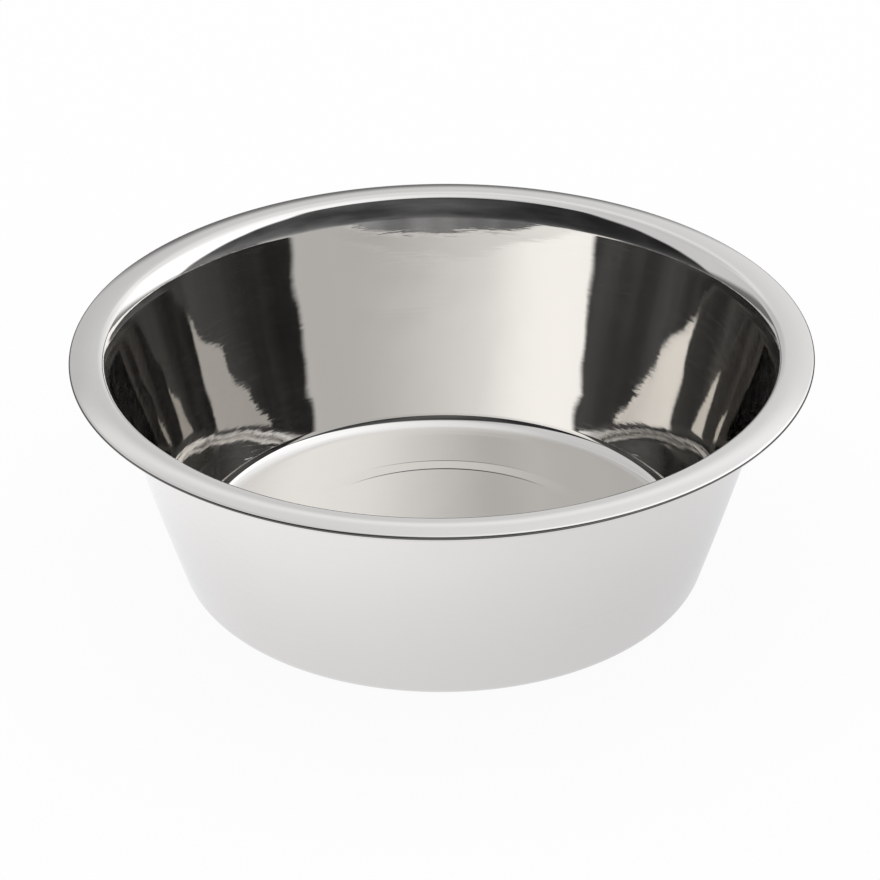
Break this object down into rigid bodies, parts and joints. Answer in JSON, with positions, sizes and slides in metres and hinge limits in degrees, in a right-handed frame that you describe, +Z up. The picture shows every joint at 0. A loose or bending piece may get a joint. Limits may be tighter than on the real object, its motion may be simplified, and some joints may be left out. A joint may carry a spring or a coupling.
{
  "type": "feeding bowl",
  "caption": "Round pressed steel feeding bowl with a tapered wall, a level flange with a rolled edge and a disc stamped into the floor.",
  "frame": {"origin": "centre of the standing face, at the bottom of the bounding box", "axes": "+Z up along the axis of the bowl; the bowl is round, so X and Y are level and free to choose"},
  "size_m": [0.25, 0.25, 0.0844],
  "materials": {
    "stainless": "polished"
  },
  "bodies": {
    "root": {"bowl": "stainless"}
  },
  "joints": []
}
